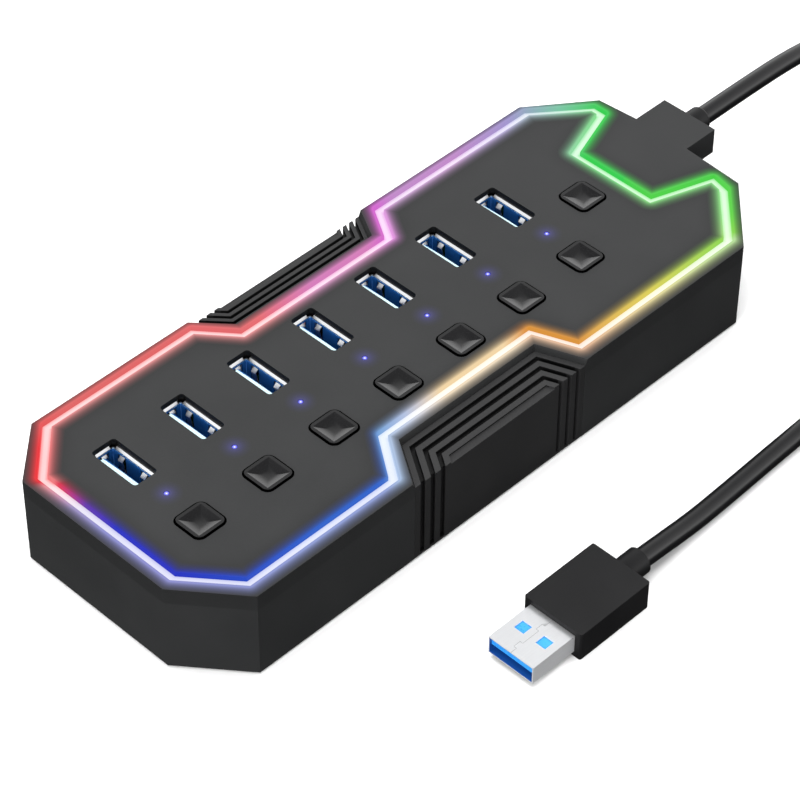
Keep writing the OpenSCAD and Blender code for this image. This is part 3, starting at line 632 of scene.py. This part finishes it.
FINISHES = {
    "case": case_finish("case", **HOUSING_PAINTED_GLOW),
    "cover": finish_of("cover", (0.012, 0.012, 0.012), (0.018, 0.018, 0.018), rough=(0.5, 0.6)),
    "grille": grille_finish(),
    "light_guide": strip_finish(),
    "board": board_finish(),
    "socket_metal": finish_of("socket_metal", (0.86, 0.87, 0.89), (0.95, 0.96, 0.97),
                              rough=(0.28, 0.4), grain_mm=0.2, depth_mm=0.003, stretch=(1, 1, 0.1),
                              Metallic=1.0),
    "socket_blue": core_finish(),
    "contact": finish_of("contact", (0.8, 0.6, 0.25), (0.9, 0.7, 0.35), rough=(0.2, 0.3), Metallic=1.0),
    "cap": cap_finish(),
    "stem": finish_of("stem", (0.7, 0.68, 0.62), (0.8, 0.78, 0.72)),
    "switch": finish_of("switch", (0.006, 0.006, 0.006), (0.01, 0.01, 0.01)),
    "led": finish_of("led", (0.75, 0.72, 0.5), (0.9, 0.88, 0.75), rough=(0.2, 0.4)),
    "lens": lens_finish(),
    "chip": finish_of("chip", (0.01, 0.01, 0.011), (0.02, 0.02, 0.022), rough=(0.5, 0.6)),
    "capacitor": finish_of("capacitor", (0.45, 0.46, 0.48), (0.6, 0.61, 0.63), Metallic=1.0),
    "screw": finish_of("screw", (0.4, 0.4, 0.42), (0.6, 0.6, 0.62), rough=(0.25, 0.4), Metallic=1.0),
    "foot": finish_of("foot", (0.01, 0.01, 0.01), (0.02, 0.02, 0.02), rough=(0.7, 0.85), depth_mm=0.02),
    "cable": finish_of("cable", (0.004, 0.004, 0.0045), (0.006, 0.006, 0.0065), rough=(0.26, 0.34),
                       grain_mm=0.3, depth_mm=0.004, Specular_IOR_Level=0.5),
    "tie": finish_of("tie", (0.01, 0.01, 0.011), (0.02, 0.02, 0.021)),
    "overmould": finish_of("overmould", (0.006, 0.006, 0.0065), (0.009, 0.009, 0.0095),
                           rough=(0.42, 0.52), grain_mm=0.3, depth_mm=0.008, Specular_IOR_Level=0.25),
    "plug_metal": plug_finish(),
    "plug_blue": finish_of("plug_blue", (0.03, 0.28, 0.8), (0.05, 0.36, 0.92), rough=(0.25, 0.35)),
}
# A piece whose finish isn't the one that its slot shares
OWN_FINISHES = {"top_panel": panel_finish()}

# ---- Edges ----

# Width of the rounding on each slot's edges, in millimetres
EDGES = {
    "case": 0.25, "cover": 0.2, "grille": 0.08, "cap": 0.45, "overmould": 0.3, "plug_metal": 0.12,
    "socket_metal": 0.05, "plug_blue": 0.08, "foot": 0.2, "tie": 0.15, "switch": 0.1,
}
EDGE_STEPS = 3
# Edges sharper than this are rounded, and faces flatter than this are joined, in degrees
EDGE_FROM = 40
FLAT_TO = 1
WELD_MM = 0.001
# The pieces whose flat faces are joined before their edges are rounded
WITH_FLATS = ("housing", "top_panel", "bottom_cover", "front_grille", "back_grille")
# The caps' dishes keep folds sharper than this, in degrees, so their rounding takes finer steps
CAP_FOLD = 13
CAP_STEPS = 8


def soften(piece, slot):
    """Rounds the edges of a piece and shades it smoothly between them."""
    weld = piece.modifiers.new("weld", "WELD")
    weld.merge_threshold = WELD_MM * MM
    if piece.name in WITH_FLATS:
        flats = piece.modifiers.new("flats", "DECIMATE")
        flats.decimate_type = "DISSOLVE"
        flats.angle_limit = radians(FLAT_TO)
    if slot in EDGES:
        bevel = piece.modifiers.new("rounding", "BEVEL")
        bevel.width = EDGES[slot] * MM
        bevel.segments = CAP_STEPS if slot == "cap" else EDGE_STEPS
        bevel.limit_method = "ANGLE"
        bevel.angle_limit = radians(EDGE_FROM)
        bevel.use_clamp_overlap = True
    if slot == "cap":
        piece.modifiers.new("folds", "EDGE_SPLIT").split_angle = radians(CAP_FOLD)
    piece.modifiers.new("shading", "WEIGHTED_NORMAL").keep_sharp = False


for entry in frame["record"]["subparts"]:
    node, slot = entry["node"], entry["material_slot"]
    piece = frame["nodes"][node]
    piece.data.materials.clear()
    piece.data.materials.append(OWN_FINISHES.get(node, FINISHES[slot]))
    soften(piece, slot)
cable.data.materials.append(FINISHES["cable"])

# ---- Stage ----

FLOOR_REACH = 6.0
# The sky's brightness at each height, with the horizon at 0.1 and straight up at 1.1
SKY = [(0.06, 0.01), (0.12, 1), (0.36, 0.9), (0.6, 0.46), (0.8, 0.42), (0.97, 0.1)]
HORIZON = 0.1
SKY_STRENGTH = 2.2


def add_floor():
    """A pale floor that shows its shadows, and leaves the sides of what stands on it dark."""
    material, tree, shader = new_material("floor")
    grain = noise(tree, place_of(tree), 60)
    put(tree, shader.inputs["Base Color"], grey_ramp(tree, grain, [(0.3, 0.9), (0.7, 0.92)]))
    shader.inputs["Roughness"].default_value = 0.9
    data = bpy.data.meshes.new("floor")
    corners = [(x * FLOOR_REACH, y * FLOOR_REACH, 0) for x, y in ((-1, -1), (1, -1), (1, 1), (-1, 1))]
    data.from_pydata(corners, [], [(0, 1, 2, 3)])
    data.materials.append(material)
    floor = new_object("floor", data)
    floor.visible_diffuse = False
    floor.visible_glossy = False


def add_light(name, at, size, power):
    """A round lamp that points at the hub and doesn't show in its gloss."""
    data = bpy.data.lights.new(name, "AREA")
    data.shape = "DISK"
    data.size = size
    data.energy = power
    light = new_object(name, data)
    light.location = at
    light.rotation_euler = (-Vector(at)).to_track_quat("-Z", "Y").to_euler()
    light.visible_glossy = False


def add_world():
    """A white sky, brightest just above the horizon, and a dark ground below it."""
    world = bpy.data.worlds.new("world")
    bpy.context.scene.world = world
    world.use_nodes = True
    tree = world.node_tree
    height = xyz(tree, add(tree, "TexCoord").outputs["Generated"])[2]
    sky = grey_ramp(tree, maths(tree, "ADD", height, HORIZON), SKY)
    put(tree, tree.nodes["Background"].inputs["Color"], sky)
    tree.nodes["Background"].inputs["Strength"].default_value = SKY_STRENGTH


add_floor()
add_world()
add_light("overhead", (0.05, 0.15, 1.2), 1.2, 19)
add_light("left", (-1.2, -0.32, 0.4), 0.6, 13)
bpy.context.scene.view_settings.view_transform = "Standard"

bpy.context.view_layer.update()
